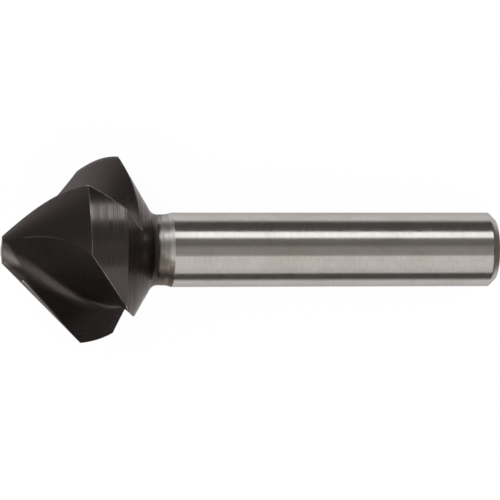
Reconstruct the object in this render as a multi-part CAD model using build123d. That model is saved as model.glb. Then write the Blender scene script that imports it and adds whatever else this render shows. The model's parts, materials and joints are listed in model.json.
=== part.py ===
from build123d import *
from dataclasses import dataclass
from math import acos, atan, atan2, cos, degrees, hypot, radians, sin, tan
import os

# A countersink bit in one piece: a conical head with three flutes, a short neck and a plain round shank.
# It is modelled along its own axis, Z, from the tip at zero to the end of the shank, and then laid down.
# Angles round the axis start at +X and turn towards +Y. Lengths are in millimetres, angles in degrees.

# Turned body, from the tip to the end of the shank
tip_diameter = 3.8
head_diameter = 25.0
cone_angle = 90.0
land_length = 4.9
back_cone_angle = 118.5
neck_diameter = 9.45
neck_end_diameter = 9.58
neck_fillet = 1.3
neck_length = 2.625
shoulder_length = 0.75
shank_diameter = 10.0
overall_length = 67.0
end_chamfer = 0.95
end_rounding = 0.35
centre_hole_diameter = 2.0
centre_hole_angle = 60.0

# Flutes: three values are those at the tip, at the corner behind the cone and where the flute runs out
runout_length = 2.5
tip_web_radius = 0.4
flute_depth = 6.1
valley_radius = (2.8, 2.0, 0.5)
cutter_overrun = 1.5
cutter_clearance = 5.0

# How far up the cone, as shares of its height, a flute's section is drawn between the tip and the corner
section_shares = (0.15, 0.4, 0.7)

# Relief of each tooth's cone face: a cone whose axis is set off from the bit's, towards the cutting edge
relief_offset = 0.4
relief_turn = 20.0
relief_start = 3.0


@dataclass
class Flute:
    """One flute: where its cutting edge lies round the axis, and how far its heel wall slants."""

    edge: tuple
    slant: tuple


wide_flute = Flute(edge=(153.0, 182.5, 217.5), slant=(27.5, 28.5, 24.0))
rear_flute = Flute(edge=(257.5, 290.0, 317.0), slant=(0.0, 10.0, 0.0))
front_flute = Flute(edge=(15.0, 45.4, 73.0), slant=(14.0, 18.5, 0.0))

# Sizes that follow from the ones above
tip_radius = tip_diameter / 2
head_radius = head_diameter / 2
neck_radius = neck_diameter / 2
neck_end_radius = neck_end_diameter / 2
shank_radius = shank_diameter / 2
cone_slope = tan(radians(cone_angle / 2))
back_cone_slope = tan(radians(back_cone_angle / 2))
corner = (head_radius - tip_radius) / cone_slope
land_end = corner + land_length
neck_start = land_end + (head_radius - neck_radius) / back_cone_slope
shank_start = neck_start + neck_length
runout = land_end + runout_length
runout_radius = head_radius - runout_length * back_cone_slope
shank_end = overall_length - end_chamfer
cutter_reach = head_radius + cutter_clearance


def smooth_value(values, height):
    """A size that is given at the tip, the corner and the run-out, read off a smooth curve."""
    at_tip, at_corner, at_runout = values
    tip_share = (height - corner) * (height - runout) / (corner * runout)
    corner_share = height * (height - runout) / (corner * (corner - runout))
    runout_share = height * (height - corner) / (runout * (runout - corner))
    return at_tip * tip_share + at_corner * corner_share + at_runout * runout_share


def flute_floor(flute, height):
    """How far from the axis the flute's two walls meet."""
    at_runout = runout_radius / cos(radians(flute.slant[2]))
    return smooth_value((tip_web_radius, head_radius - flute_depth, at_runout), height)


def heel_angle(flute, height):
    """The angle round the axis at which the flute's heel wall comes out through the head's full radius."""
    slant = radians(smooth_value(flute.slant, height))
    width = slant + acos(flute_floor(flute, height) * cos(slant) / head_radius)
    return smooth_value(flute.edge, height) - degrees(width)


def turned_body():
    """The body of revolution, before the flutes are ground."""
    outline = Polyline(
        (0, 0, 0),
        (tip_radius, 0, 0),
        (head_radius, 0, corner),
        (head_radius, 0, land_end),
        (neck_radius, 0, neck_start),
        (neck_end_radius, 0, shank_start - shoulder_length),
        (shank_radius, 0, shank_start),
        (shank_radius, 0, shank_end),
        (shank_radius - end_chamfer, 0, overall_length),
        (0, 0, overall_length),
        close=True,
    )
    body = revolve(make_face(outline), axis=Axis.Z)
    root = body.edges().filter_by(GeomType.CIRCLE).sort_by_distance((neck_radius, 0, neck_start))[0]
    body = fillet(root, neck_fillet)
    end_rings = body.edges().filter_by(GeomType.CIRCLE).sort_by(Axis.Z)[-2:]
    return fillet(end_rings, end_rounding)


def centre_hole():
    """The conical hole in the end face of the shank, which carried the bit while it was ground."""
    depth = centre_hole_diameter / 2 / tan(radians(centre_hole_angle / 2))
    bottom = Pos(0, 0, overall_length - depth)
    return bottom * Cone(0, centre_hole_diameter, 2 * depth, align=(Align.CENTER, Align.CENTER, Align.MIN))


def offset_axis(edge):
    """How far the relief cone's surface is set off where the cutting edge lies at this angle."""
    turn = radians(edge - relief_turn)
    return relief_offset * Vector(cos(turn), sin(turn))


def relief_cutter(ahead, behind):
    """What is ground off the cone of the tooth between two flutes, so that it falls away from its edge."""
    at_tip = offset_axis(ahead.edge[0])
    at_corner = offset_axis(ahead.edge[1])
    lean = (at_corner - at_tip) / (corner + cone_slope * (head_radius - tip_radius))
    foot = at_tip - lean * cone_slope * tip_radius
    shift = relief_offset * cos(radians(relief_turn - relief_start))
    apex_height = (shift - tip_radius) / cone_slope
    apex = foot + lean * apex_height + Vector(0, 0, apex_height)
    reach = 2 * cutter_reach
    kept = Plane(apex, z_dir=lean + Vector(0, 0, 1)) * Cone(0, reach, reach / cone_slope, align=Align.NONE)
    start = (heel_angle(ahead, corner) + ahead.edge[0]) / 2
    end = (heel_angle(behind, corner) + behind.edge[0]) / 2
    height = corner + 2 * relief_offset + cutter_overrun
    sector = Cylinder(cutter_reach, height, arc_size=(end - start) % 360, align=Align.NONE)
    return Pos(0, 0, -cutter_overrun) * Rot(0, 0, start) * sector - kept


def flute_section(flute, height):
    """The flute square to the axis: a radial rake face, a rounded valley and a slanted heel wall."""
    edge = radians(smooth_value(flute.edge, height))
    slant = radians(smooth_value(flute.slant, height))
    heel = Vector(-sin(slant), cos(slant))
    valley = Vector(flute_floor(flute, height), 0)
    trim = smooth_value(valley_radius, height) * tan((radians(90) - slant) / 2)
    rake_foot = valley + Vector(trim, 0)
    rake_top = Vector(cutter_reach, 0)
    heel_foot = valley + heel * trim
    heel_top = valley + heel * cutter_reach
    outside = Vector(cutter_reach, heel_top.Y)
    outline = Wire(
        [
            Edge.make_line(rake_top, rake_foot),
            Edge.make_tangent_arc(rake_foot, Vector(-1, 0), heel_foot),
            Edge.make_line(heel_foot, heel_top),
            Edge.make_line(heel_top, outside),
            Edge.make_line(outside, rake_top),
        ]
    )
    across = Plane(origin=(0, 0, height), x_dir=(cos(edge), sin(edge), 0), z_dir=(0, 0, -1))
    return across * Face(outline)


def flute_cutter(flute):
    """The space that the grinding wheel clears for one flute."""
    on_cone = [corner * share for share in section_shares]
    on_land = [corner, (corner + land_end) / 2, land_end]
    behind = [(land_end + runout) / 2, runout, runout + cutter_overrun]
    return loft([flute_section(flute, height) for height in [-cutter_overrun, *on_cone, *on_land, *behind]])


def resting_plane():
    """The table under the bit, as a plane in the bit's own frame.

    The bit lies on the shank's end and on two corners beside the rear flute: its cutting edge at the
    front of the land and its heel at the back of the land.
    """
    edge = radians(rear_flute.edge[1])
    heel = radians(heel_angle(rear_flute, land_end))
    edge_arm = shank_end - corner
    heel_arm = shank_end - land_end
    across = head_radius * (heel_arm * cos(edge) - edge_arm * cos(heel))
    along = head_radius * (heel_arm * sin(edge) - edge_arm * sin(heel))
    up = atan2(along, across) + acos(shank_radius * land_length / hypot(across, along))
    tilt = atan((head_radius * cos(edge - up) + shank_radius) / edge_arm)
    normal = Vector(cos(tilt) * cos(up), cos(tilt) * sin(up), sin(tilt))
    axis = Vector(0, 0, 1)
    contact = Vector(head_radius * cos(edge), head_radius * sin(edge), corner)
    return Plane(origin=contact, x_dir=axis - normal * axis.dot(normal), z_dir=normal)


def countersink_bit():
    """The whole bit, lying on the table with its tip towards -X and the table at Z zero."""
    bit = turned_body() - centre_hole()
    for ahead, behind in (
        (front_flute, wide_flute),
        (wide_flute, rear_flute),
        (rear_flute, front_flute),
    ):
        bit -= relief_cutter(ahead, behind)
    for flute in (front_flute, wide_flute, rear_flute):
        bit -= flute_cutter(flute)
    bit = resting_plane().to_local_coords(bit)
    middle = bit.bounding_box().center()
    return Pos(-middle.X, -middle.Y, 0) * bit


os.makedirs("parts", exist_ok=True)
export_step(countersink_bit(), "parts/countersink_bit.step")
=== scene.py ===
import bpy
import bmesh
import json
from math import asin, cos, pi, radians, sin, tan
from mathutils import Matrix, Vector
from types import SimpleNamespace

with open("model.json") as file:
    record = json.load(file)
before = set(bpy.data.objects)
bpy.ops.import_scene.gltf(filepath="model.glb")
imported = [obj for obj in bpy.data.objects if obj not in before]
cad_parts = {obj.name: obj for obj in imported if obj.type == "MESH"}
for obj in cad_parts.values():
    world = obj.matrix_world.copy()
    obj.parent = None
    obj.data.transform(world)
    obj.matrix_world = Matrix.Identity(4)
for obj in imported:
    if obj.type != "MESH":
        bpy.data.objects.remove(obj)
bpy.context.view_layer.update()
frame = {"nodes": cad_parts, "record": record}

# A countersink bit: ground steel with a near-black coat on its fluted head.
# Lengths are in millimetres and angles in degrees. Places on the bit are measured along its axis from the
# tip, and aside from the axis towards +Y. A pair of values is where a change begins and where it ends.

MM = 0.001

# Camera: nearly straight above the bit as it lies on the table
camera_place = (-12.806, 56.071, 495.702)
camera_turn = (-6.598, -1.380, 0.920)
camera_lens = 262.305
camera_sensor = 36.0
camera_near = 10.0
camera_far = 10000.0

# Sizes of the bit that its finishes follow
tip_diameter = 3.8
head_diameter = 25.0
land_start = 10.6
land_end = 15.5
back_cone_slope = 1.681
neck_diameter = 9.45
shank_start = 22.75
flute_twist_per_mm = 3.6

# Where one part of the bit gives way to the next: a flute is told by being deeper than the teeth's relief
flute_depth = (0.27, 0.63)
land_front = (land_start - 0.1, land_start + 0.1)
land_back_half = (12.0, 13.6)
shank_front = (shank_start - 0.1, shank_start + 0.05)

# The coat's end on the neck
coat_end = 20.35
coat_thinning = (coat_end - 0.4, coat_end)
coat_fading = (coat_end + 0.2, coat_end + 0.7)
coat_raggedness = 0.25
thin_coat_share = 0.22

# Colours, as linear red, green and blue
white = (1.0, 1.0, 1.0, 1.0)
coat_colour = (0.096, 0.082, 0.083, 1.0)
# Worn steel on the coat, which also colours the painted highlights at the tip, the edges and the land
coat_wear_and_highlight_colour = (0.45, 0.42, 0.405, 1.0)
steel_colour = (0.632, 0.61, 0.587, 1.0)
steel_stain_colour = (0.58, 0.555, 0.525, 1.0)
steel_ring_colour = (0.30, 0.285, 0.27, 1.0)
neck_colour = (0.66, 0.645, 0.63, 1.0)
# Brown stain on the neck, which also paints shade away from its highlight line
neck_stain_and_shade_colour = (0.17, 0.140, 0.115, 1.0)
edge_on_tint = (0.70, 0.665, 0.66, 1.0)
sheet_colour = (0.8, 0.8, 0.8, 1.0)

# Tool marks: how many steps of noise a millimetre holds along the axis and across it, and their detail
feed_marks = {"Scale": 1.05, "Distortion": 1.5, "Detail": 2.0, "Detail Scale": 0.6}
feed_share = 0.35
turned_rings = {"along": 5.2, "across": 0.06, "detail": 3.0}
land_rings = {"along": 5.6, "across": 0.1, "detail": 1.0}
fine_rings = {"along": 14.0, "across": 0.15, "detail": 2.0}
shank_rings = {"along": 4.2, "across": 0.9, "detail": 3.0}
neck_bands = {"along": 1.9, "across": 0.06, "detail": 3.0}
flute_lines = {"along": 0.12, "across": 4.2, "detail": 3.0}
blotches = {"along": 0.22, "across": 0.33, "detail": 3.0}
streak_roughness = 0.6

# Noise lies mostly between these values
noise_middle = 0.5
noise_range = (0.3, 0.7)
inner_noise_range = (0.35, 0.65)

# Wear on sharp edges: how far they are rounded, how alike the true and the rounded surface are at an edge
# and away from it, and how much of the coat is gone from the edges of the cone, the land and the back cone
edge_rounding = 0.18
edge_samples = 8
edge_likeness = (0.92, 0.997)
cone_edge_wear = 0.14
land_edge_wear = 0.8
back_edge_wear = 0.15
land_edge_start = (land_start - 0.5, land_start - 0.2)
land_edge_end = (land_end, land_end + 0.3)

# Painted highlights on the land's rims, in the colour of bare steel: a strip at its front on the far side,
# and the edges from there to its back on the near side
front_highlight_width = (0.15, 0.4)
front_highlight_side = (2.6, 4.2)
back_highlight_start = (land_start - 0.2, land_start + 0.2)
back_highlight_end = (land_end + 0.15, land_end + 0.45)
back_highlight_side = (-0.8, -2.2)

# A painted highlight on the web at the tip: its end leans by the slant, and its middle lies to the near
# side
tip_highlight_share = 0.6
tip_patch_slant = 0.6
tip_patch_end = (0.9, 1.6)
tip_patch_offset = 0.35
tip_patch_sides = (2.0, 1.1)
web_depth = (0.8, 1.1)

# The strip behind each cutting edge, partly worn steel and partly a painted highlight along the edge: a
# rake face is told by how little it faces away from the axis
rake_facing = (0.45, 0.25)
rake_strip_depth = (0.30, 0.55)
rake_strip_end = (9.0, 4.0)

# Wear on the crests of the tool marks, and painted sheen in ring streaks on the far side of the land, where
# the highlight lies
cone_crest_wear = 0.012
land_crest_wear = 0.008
back_crest_wear = 0.025
land_crest_start = (land_start - 0.1, land_start)
land_crest_end = (land_end - 0.1, land_end)
ring_crests = (0.46, 0.66)
line_crests = (0.42, 0.66)
line_wear = 0.05
painted_sheen_side = (0.5, 3.5)
painted_sheen_share = (0.15, 0.05)

# Stain on the shank and the neck. On the neck the stain is partly painted shade, with a painted highlight
# along a line aside from the axis and on its shoulder
steel_stain_range = (0.35, 0.7)
shank_ring_range = (0.4, 0.65)
shank_ring_share = 0.05
neck_highlight_line = 1.8
neck_highlight_width = (0.6, 3.2)
neck_stain_and_shade_share = (0.10, 0.80)
band_stain_share = (-0.15, 0.15)
blotch_stain_share = (-0.3, 0.3)
shoulder_front = (shank_start - 0.7, shank_start - 0.4)
shoulder_glint_share = 0.8
shoulder_glint_side = (-1.2, 0.2)

# Roughness of each finish, from where its marks are low to where they are high
coat_roughness = (0.31, 0.37)
land_front_roughness = 0.23
land_back_roughness = (0.15, 0.33)
land_back_share = (0.3, 1.0)
neck_roughness = (0.30, 0.40)
shank_roughness = (0.14, 0.20)

# Height of the tool marks, and how strongly each finish shows it
mark_height = 0.01
ring_share_on_neck = 0.3
ring_bump = 0.45
flute_bump = 0.9
neck_bump = 0.5
shank_bump = 0.10

# Light: how bright each part of the studio is, where a strength of 1 is white
background_strength = 1.07
ceiling_strength = 0.33
ceiling_left_strength = 0.60
ceiling_right_strength = 0.09
gap_strength = 0.17
dark_strength = 0.085
left_strength = 0.16
right_near_strength = 0.16
right_far_strength = 0.14
table_strength = 0.78
table_far_strength = 0.95
table_near_strength = 0.45
fill_strength = 0.55
room_colour = (1.0, 0.94, 0.89, 1.0)

# Studio: where its parts change, as limits of a direction's X to the right, Y to the far side and Z up
left_part = (-0.15, -0.45)
left_to_right = (-0.3, 0.3)
middle_to_sides = (0.30, 0.75)
right_near_to_far = (-0.25, 0.05)
walls_to_gap = (0.45, 0.72)
ceiling_middle_to_left = (-0.05, -0.30)
ceiling_middle_to_right = (0.42, 0.62)
table_near_to_far = (-0.38, -0.12)
table_right_end = (0.88, 0.50)

# The ceiling's edges run along X and are limits of how straight up a direction points, seen along X
ceiling_edge = (0.928, 0.985)
just_over_one = 1.001

# The table's edge is a limit of Z plus a share of Y, which makes it lean
table_edge = (-0.13, -0.40)
table_left_edge = (-0.08, -0.90)
table_lean = 0.04
table_left_lean = -0.15

# The sheet under the bit, and the share of it that is plain white to the camera, without the bit's shadow
sheet_half_width = 450.0
sheet_white_share = 0.88

# Lamps beside the bit
lamp_length = 1100.0
lamp_distance = 800.0


def new_node(tree, kind, **settings):
    """A node with its properties set by name, and its inputs by a dictionary of values or sockets."""
    node = tree.nodes.new("ShaderNode" + kind)
    inputs = settings.pop("inputs", {})
    for name, value in settings.items():
        setattr(node, name, value)
    for name, value in inputs.items():
        if isinstance(value, bpy.types.NodeSocket):
            tree.links.new(value, node.inputs[name])
        else:
            node.inputs[name].default_value = value
    return node


def arithmetic(tree, operation, first, second=0.0):
    """One step of arithmetic on numbers or sockets."""
    return new_node(tree, "Math", operation=operation, inputs={0: first, 1: second}).outputs[0]


def total(tree, first, second):
    """Two numbers or sockets added."""
    return arithmetic(tree, "ADD", first, second)


def difference(tree, first, second):
    """The second of two numbers or sockets taken from the first."""
    return arithmetic(tree, "SUBTRACT", first, second)


def product(tree, first, second):
    """Two numbers or sockets multiplied."""
    return arithmetic(tree, "MULTIPLY", first, second)


def larger(tree, first, second):
    """The larger of two numbers or sockets."""
    return arithmetic(tree, "MAXIMUM", first, second)


def smaller(tree, first, second):
    """The smaller of two numbers or sockets."""
    return arithmetic(tree, "MINIMUM", first, second)


def distance_from(tree, value, place):
    """How far a value is from a place, on either side of it."""
    return arithmetic(tree, "ABSOLUTE", difference(tree, value, place))


def share_over(tree, value, limits, shares=(0.0, 1.0)):
    """A share that goes smoothly from the first of shares to the second as the value crosses the limits."""
    low, high = limits
    to_low, to_high = shares
    node = new_node(
        tree,
        "MapRange",
        interpolation_type="SMOOTHSTEP",
        inputs={"Value": value, "From Min": low, "From Max": high, "To Min": to_low, "To Max": to_high},
    )
    return node.outputs["Result"]


def mixed_colour(tree, share, first, second):
    """Two colours mixed by a share."""
    return new_node(tree, "Mix", data_type="RGBA", inputs={0: share, 6: first, 7: second}).outputs[2]


def mixed_value(tree, share, first, second):
    """Two numbers mixed by a share."""
    return new_node(tree, "Mix", data_type="FLOAT", inputs={0: share, 2: first, 3: second}).outputs[0]


def turned_level(tree, vector, lean, **inputs):
    """A place or direction on the bit, turned so that the bit's axis lies along X."""
    settings = {"Vector": vector, "Rotation": (0.0, lean, 0.0), **inputs}
    return new_node(tree, "Mapping", vector_type="TEXTURE", inputs=settings).outputs["Vector"]


def streaks(tree, place, along, across, detail):
    """Noise stretched along the axis or across it."""
    steps = (along, across, across)
    stretched = new_node(tree, "VectorMath", operation="MULTIPLY", inputs={0: place, 1: steps}).outputs[0]
    inputs = {"Vector": stretched, "Scale": 1.0, "Detail": detail, "Roughness": streak_roughness}
    return new_node(tree, "TexNoise", inputs=inputs).outputs["Fac"]


def fresh_tree(material):
    """The material's node tree with nothing in it but the output."""
    material.use_nodes = True
    tree = material.node_tree
    tree.nodes.clear()
    return tree, tree.nodes.new("ShaderNodeOutputMaterial")


def depth_below_outline(tree, along, radius):
    """How deep a point lies under the head's turned outline, as it was before the flutes were ground."""
    on_cone = total(tree, along, tip_diameter / 2)
    fall = product(tree, difference(tree, along, land_end), back_cone_slope)
    on_back_cone = difference(tree, head_diameter / 2, fall)
    outline = smaller(tree, on_cone, on_back_cone)
    outline = smaller(tree, outline, head_diameter / 2)
    outline = larger(tree, outline, neck_diameter / 2)
    return difference(tree, outline, radius)


def places_on_bit(tree, shank):
    """Where a point lies on the bit, in the bit's own frame: X along the axis from the tip."""
    axis = Vector(shank["axis"])
    shank_middle = shank_start + shank["dims"]["length_mm"] / 2
    tip = Vector(shank["pos_m"]) - axis * shank_middle * MM
    lean = asin(-axis.z)
    object_place = new_node(tree, "TexCoord").outputs["Object"]
    place = turned_level(tree, object_place, lean, Location=tip, Scale=(MM, MM, MM))
    parts = new_node(tree, "SeparateXYZ", inputs={0: place}).outputs
    across = new_node(tree, "CombineXYZ", inputs={"X": 0.0, "Y": parts["Y"], "Z": parts["Z"]}).outputs[0]
    radius = new_node(tree, "VectorMath", operation="LENGTH", inputs={0: across}).outputs["Value"]
    depth = depth_below_outline(tree, parts["X"], radius)
    in_flute = share_over(tree, depth, flute_depth)
    behind_cone = share_over(tree, parts["X"], land_front)
    return SimpleNamespace(
        place=place,
        lean=lean,
        along=parts["X"],
        aside=parts["Y"],
        across=across,
        depth=depth,
        in_flute=in_flute,
        on_land=product(tree, behind_cone, difference(tree, 1.0, in_flute)),
        on_shank=share_over(tree, parts["X"], shank_front),
    )


def tool_marks(tree, spot):
    """What the tools left: rings round the axis, lines along the flutes, and blotches over all of it."""
    feed = new_node(tree, "TexWave", bands_direction="X", inputs={"Vector": spot.place, **feed_marks})
    turned = streaks(tree, spot.place, **turned_rings)
    twist = product(tree, spot.along, -radians(flute_twist_per_mm))
    untwisted = new_node(
        tree, "VectorRotate", rotation_type="X_AXIS", inputs={"Vector": spot.place, "Angle": twist}
    ).outputs[0]
    return SimpleNamespace(
        rings=mixed_value(tree, feed_share, turned, feed.outputs["Fac"]),
        land_rings=streaks(tree, spot.place, **land_rings),
        fine_rings=streaks(tree, spot.place, **fine_rings),
        shank_rings=streaks(tree, spot.place, **shank_rings),
        neck_bands=streaks(tree, spot.place, **neck_bands),
        flute_lines=streaks(tree, untwisted, **flute_lines),
        blotches=streaks(tree, spot.place, **blotches),
    )


def bare_steel(tree, spot, marks):
    """Where there is no coat: behind its ragged end on the neck, just before which it is thin."""
    off_middle = difference(tree, marks.blotches, noise_middle)
    ragged = total(tree, spot.along, product(tree, off_middle, coat_raggedness))
    thin = share_over(tree, ragged, coat_thinning, (0.0, thin_coat_share))
    return share_over(tree, ragged, coat_fading, (thin, 1.0))


def highlight_rims(tree, spot):
    """Painted highlights along the land's edges, in the colour of bare steel."""
    # Painted highlight: steel colour on the front rim on the far side, and on the back edges on the near
    # side
    from_front = distance_from(tree, spot.along, land_start)
    at_front = share_over(tree, from_front, front_highlight_width, (1.0, 0.0))
    front_rim_highlight = product(tree, at_front, share_over(tree, spot.aside, front_highlight_side))
    past_front = share_over(tree, spot.along, back_highlight_start)
    to_back = share_over(tree, spot.along, back_highlight_end, (past_front, 0.0))
    back_rim_highlight = product(tree, to_back, share_over(tree, spot.aside, back_highlight_side))
    return larger(tree, front_rim_highlight, back_rim_highlight)


def edge_wear(tree, spot, rounded, true_normal, rim_highlight):
    """Wear along the sharp edges, strongest round the land, with the painted highlights on its rims."""
    alike = new_node(tree, "VectorMath", operation="DOT_PRODUCT", inputs={0: rounded, 1: true_normal})
    at_edge = share_over(tree, alike.outputs["Value"], edge_likeness, (1.0, 0.0))
    gone = share_over(tree, spot.along, land_edge_start, (cone_edge_wear, land_edge_wear))
    gone = share_over(tree, spot.along, land_edge_end, (gone, back_edge_wear))
    return product(tree, at_edge, larger(tree, gone, rim_highlight))


def tip_highlight(tree, spot):
    """A painted highlight on the web between the flutes at the tip."""
    # Painted highlight in worn-steel colour where the valley's reflection lies at the tip
    slanted = total(tree, spot.along, product(tree, spot.aside, tip_patch_slant))
    patch = share_over(tree, slanted, tip_patch_end, (tip_highlight_share, 0.0))
    from_middle = distance_from(tree, spot.aside, -tip_patch_offset)
    patch = product(tree, patch, share_over(tree, from_middle, tip_patch_sides))
    return product(tree, patch, share_over(tree, spot.depth, web_depth))


def rake_strip(tree, spot, true_normal):
    """The steel-coloured strip on each rake face behind its cutting edge, partly wear and partly a painted
    highlight along the edge, which fades away from the tip.
    """
    outward = new_node(tree, "VectorMath", operation="NORMALIZE", inputs={0: spot.across}).outputs[0]
    facing = turned_level(tree, true_normal, spot.lean)
    outward_share = new_node(tree, "VectorMath", operation="DOT_PRODUCT", inputs={0: facing, 1: outward})
    on_rake = share_over(tree, outward_share.outputs["Value"], rake_facing)
    strip = share_over(tree, spot.depth, rake_strip_depth, (1.0, 0.0))
    strip = product(tree, strip, share_over(tree, spot.along, rake_strip_end))
    return product(tree, strip, on_rake)


def crest_wear_and_sheen(tree, spot, marks):
    """Wear on the crests of the tool marks, and painted sheen in ring streaks on the far side of the land.
    """
    gone = share_over(tree, spot.along, land_crest_start, (cone_crest_wear, land_crest_wear))
    gone = share_over(tree, spot.along, land_crest_end, (gone, back_crest_wear))
    ridges = product(tree, share_over(tree, marks.rings, ring_crests), gone)
    grooves = share_over(tree, marks.flute_lines, line_crests, (0.0, line_wear))
    crests = mixed_value(tree, spot.in_flute, ridges, grooves)
    # Painted sheen: lighter ring streaks on the land's far side, inside its highlight
    on_painted_sheen_side = product(tree, spot.on_land, share_over(tree, spot.aside, painted_sheen_side))
    painted_sheen = share_over(tree, marks.land_rings, inner_noise_range, painted_sheen_share)
    return larger(tree, crests, product(tree, on_painted_sheen_side, painted_sheen))


def coat_finish(tree, spot, marks, rounded):
    """The coat's colour, with the steel that shows where it is worn, and painted highlights in worn and
    bare steel colour.
    """
    true_normal = new_node(tree, "NewGeometry").outputs["Normal"]
    rim_highlight = highlight_rims(tree, spot)
    strip = rake_strip(tree, spot, true_normal)
    # Real wear together with painted highlights and painted sheen, all in worn-steel colour
    wear_and_highlights = larger(tree, edge_wear(tree, spot, rounded, true_normal, rim_highlight), tip_highlight(tree, spot))
    wear_and_highlights = larger(tree, wear_and_highlights, strip)
    wear_and_highlights = larger(tree, wear_and_highlights, crest_wear_and_sheen(tree, spot, marks))
    # Full steel colour where the rims' painted highlights and the rake strip lie
    steel_coloured = larger(tree, rim_highlight, strip)
    wear_and_highlight_colour = mixed_colour(tree, steel_coloured, coat_wear_and_highlight_colour, steel_colour)
    return mixed_colour(tree, wear_and_highlights, coat_colour, wear_and_highlight_colour)


def shank_finish(tree, marks):
    """The shank's colour: ground steel, a little stained and with faint darker rings."""
    stain = share_over(tree, marks.blotches, steel_stain_range)
    steel = mixed_colour(tree, stain, steel_colour, steel_stain_colour)
    ring = share_over(tree, marks.shank_rings, shank_ring_range, (0.0, shank_ring_share))
    return mixed_colour(tree, ring, steel, steel_ring_colour)


def neck_finish(tree, spot, marks):
    """The neck's colour: turned steel under brown stain that is partly painted shade, with painted
    highlights along one line and on the shoulder.
    """
    # Painted highlight along a line aside from the axis; stain and painted shade away from it
    from_highlight_line = distance_from(tree, spot.aside, neck_highlight_line)
    stain = share_over(tree, from_highlight_line, neck_highlight_width, neck_stain_and_shade_share)
    stain = total(tree, stain, share_over(tree, marks.neck_bands, noise_range, band_stain_share))
    stain = total(tree, stain, share_over(tree, marks.blotches, noise_range, blotch_stain_share))
    # Painted highlight: a lighter patch on the shoulder's far side
    on_shoulder = share_over(tree, spot.along, shoulder_front, (0.0, shoulder_glint_share))
    shoulder_glint = product(tree, on_shoulder, share_over(tree, spot.aside, shoulder_glint_side))
    stain = share_over(tree, difference(tree, stain, shoulder_glint), (0.0, 1.0))
    return mixed_colour(tree, stain, neck_colour, neck_stain_and_shade_colour)


def finish_roughness(tree, spot, marks, coat_marks, bare):
    """How rough the surface is: glossy on the shank, satin on the coat, with ringed gloss on the land."""
    coat = share_over(tree, coat_marks, noise_range, coat_roughness)
    ringed = share_over(tree, marks.land_rings, inner_noise_range, land_back_roughness)
    ringed_share = share_over(tree, spot.along, land_back_half, land_back_share)
    land = mixed_value(tree, ringed_share, land_front_roughness, ringed)
    coat = mixed_value(tree, spot.on_land, coat, land)
    neck = share_over(tree, marks.neck_bands, noise_range, neck_roughness)
    shank = share_over(tree, marks.shank_rings, inner_noise_range, shank_roughness)
    return mixed_value(tree, bare, coat, mixed_value(tree, spot.on_shank, neck, shank))


def mark_bump(tree, spot, marks, coat_marks, bare, rounded):
    """The surface direction, tilted by the height of the tool marks and rounded at the edges."""
    neck_marks = mixed_value(tree, ring_share_on_neck, marks.neck_bands, marks.rings)
    bare_marks = mixed_value(tree, spot.on_shank, neck_marks, marks.fine_rings)
    height = mixed_value(tree, bare, coat_marks, bare_marks)
    coat_bump = mixed_value(tree, spot.in_flute, ring_bump, flute_bump)
    bare_bump = mixed_value(tree, spot.on_shank, neck_bump, shank_bump)
    strength = mixed_value(tree, bare, coat_bump, bare_bump)
    inputs = {"Strength": strength, "Distance": mark_height * MM, "Height": height, "Normal": rounded}
    return new_node(tree, "Bump", inputs=inputs).outputs["Normal"]


def bit_metal(shank):
    """Ground and turned steel, with a near-black coat on the head that is worn along its edges, and painted
    highlights on the head and the neck.
    """
    material = bpy.data.materials.new("coated_and_ground_steel")
    tree, output = fresh_tree(material)
    spot = places_on_bit(tree, shank)
    marks = tool_marks(tree, spot)
    coat_marks = mixed_value(tree, spot.in_flute, marks.rings, marks.flute_lines)
    bare = bare_steel(tree, spot, marks)
    bevel = new_node(tree, "Bevel", samples=edge_samples, inputs={"Radius": edge_rounding * MM})
    rounded = bevel.outputs["Normal"]

    steel = mixed_colour(tree, spot.on_shank, neck_finish(tree, spot, marks), shank_finish(tree, marks))
    shader = new_node(
        tree,
        "BsdfPrincipled",
        inputs={
            "Base Color": mixed_colour(tree, bare, coat_finish(tree, spot, marks, rounded), steel),
            "Metallic": 1.0,
            "Roughness": finish_roughness(tree, spot, marks, coat_marks, bare),
            "Specular Tint": edge_on_tint,
            "Normal": mark_bump(tree, spot, marks, coat_marks, bare, rounded),
        },
    )
    tree.links.new(shader.outputs[0], output.inputs["Surface"])
    return material


def pale_sheet():
    """Paper that is nearly all white to the camera, and shows the bit's shadow softly through the rest."""
    material = bpy.data.materials.new("pale_sheet")
    tree, output = fresh_tree(material)
    paper = new_node(tree, "BsdfDiffuse", inputs={"Color": sheet_colour})
    glow = new_node(tree, "Emission", inputs={"Color": white, "Strength": background_strength})
    share = product(tree, new_node(tree, "LightPath").outputs["Is Camera Ray"], sheet_white_share)
    mixed = new_node(tree, "MixShader", inputs={0: share, 1: paper.outputs[0], 2: glow.outputs[0]})
    tree.links.new(mixed.outputs[0], output.inputs["Surface"])
    return material


def table_sheet():
    """The sheet that the bit lies on."""
    mesh = bpy.data.meshes.new("table_sheet")
    shape = bmesh.new()
    bmesh.ops.create_grid(shape, x_segments=1, y_segments=1, size=sheet_half_width * MM)
    shape.to_mesh(mesh)
    shape.free()
    mesh.materials.append(pale_sheet())
    sheet = bpy.data.objects.new("table_sheet", mesh)
    bpy.context.scene.collection.objects.link(sheet)
    sheet.visible_glossy = False


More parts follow.
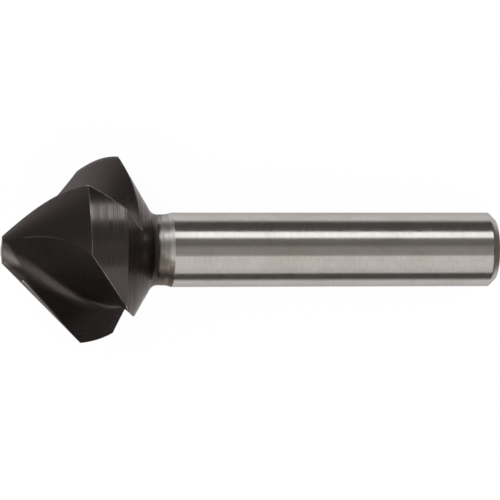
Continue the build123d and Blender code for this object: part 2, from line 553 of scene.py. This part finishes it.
def studio_walls(tree, towards):
    """How bright the studio is above the table: dark round the sides, with a ceiling past a dim gap."""
    right = share_over(tree, towards["Y"], right_near_to_far, (right_near_strength, right_far_strength))
    side = mixed_value(tree, share_over(tree, towards["X"], left_to_right), left_strength, right)
    sideways = arithmetic(tree, "ABSOLUTE", towards["X"])
    side = mixed_value(tree, share_over(tree, sideways, middle_to_sides), dark_strength, side)
    gap = mixed_value(tree, share_over(tree, towards["Z"], walls_to_gap), side, gap_strength)
    strengths = (ceiling_strength, ceiling_left_strength)
    ceiling = share_over(tree, towards["X"], ceiling_middle_to_left, strengths)
    ceiling = share_over(tree, towards["X"], ceiling_middle_to_right, (ceiling, ceiling_right_strength))
    square = product(tree, towards["X"], towards["X"])
    across_axis = arithmetic(tree, "SQRT", difference(tree, just_over_one, square))
    overhead = arithmetic(tree, "DIVIDE", towards["Z"], across_axis)
    return mixed_value(tree, share_over(tree, overhead, ceiling_edge), gap, ceiling)


def studio():
    """The room round the bit: white to the camera, dim to a reflection, and an even fill for the rest."""
    world = bpy.data.worlds.new("studio")
    bpy.context.scene.world = world
    world.use_nodes = True
    tree = world.node_tree
    tree.nodes.clear()
    output = tree.nodes.new("ShaderNodeOutputWorld")
    direction = new_node(tree, "TexCoord").outputs["Generated"]
    towards = new_node(tree, "SeparateXYZ", inputs={0: direction}).outputs

    on_left = share_over(tree, towards["X"], left_part)
    lean = product(tree, towards["Y"], mixed_value(tree, on_left, table_lean, table_left_lean))
    leaning = total(tree, towards["Z"], lean)
    below = share_over(tree, leaning, table_edge)
    below = mixed_value(tree, on_left, below, share_over(tree, leaning, table_left_edge))
    below = product(tree, below, share_over(tree, towards["X"], table_right_end))
    strengths = (table_near_strength, table_far_strength)
    left_table = share_over(tree, towards["Y"], table_near_to_far, strengths)
    table = mixed_value(tree, on_left, table_strength, left_table)
    reflected = mixed_value(tree, below, studio_walls(tree, towards), table)

    path = new_node(tree, "LightPath").outputs
    lit = mixed_value(tree, path["Is Glossy Ray"], fill_strength, reflected)
    strength = mixed_value(tree, path["Is Camera Ray"], lit, background_strength)
    tint = mixed_colour(tree, below, room_colour, white)
    tint = mixed_colour(tree, path["Is Glossy Ray"], white, tint)
    room = new_node(tree, "Background", inputs={"Color": tint, "Strength": strength})
    tree.links.new(room.outputs[0], output.inputs["Surface"])


def soft_box(name, angle, half_angle, strength, colour=white):
    """A long lamp beside the bit, at an angle from straight up towards +Y, as bright as its strength."""
    distance = lamp_distance * MM
    lamp = bpy.data.lights.new(name, "AREA")
    lamp.shape = "RECTANGLE"
    lamp.size = lamp_length * MM
    lamp.size_y = 2 * distance * tan(radians(half_angle))
    lamp.color = colour[:3]
    lamp.energy = strength * pi * lamp.size * lamp.size_y
    holder = bpy.data.objects.new(name, lamp)
    bpy.context.scene.collection.objects.link(holder)
    turn = radians(angle)
    holder.location = (0.0, distance * sin(turn), distance * cos(turn))
    holder.rotation_euler = (-turn, 0.0, 0.0)


def camera():
    """The camera, at the angle from which the bit is looked at."""
    lens = bpy.data.cameras.new("camera")
    lens.lens = camera_lens
    lens.sensor_width = camera_sensor
    lens.clip_start = camera_near * MM
    lens.clip_end = camera_far * MM
    holder = bpy.data.objects.new("camera", lens)
    bpy.context.scene.collection.objects.link(holder)
    holder.location = Vector(camera_place) * MM
    holder.rotation_euler = [radians(turn) for turn in camera_turn]
    bpy.context.scene.camera = holder


bpy.context.scene.view_settings.view_transform = "Standard"

camera()
shank = next(mount for mount in frame["record"]["mounts"] if mount["name"] == "shank")
bit = frame["nodes"]["countersink_bit"]
bit.material_slots[0].material = bit_metal(shank)

table_sheet()
studio()
soft_box("narrow_soft_box", angle=54.3, half_angle=9.9, strength=1.4)
soft_box("wide_soft_box", angle=-43.0, half_angle=29.5, strength=0.60, colour=(1.0, 0.985, 0.955, 1.0))
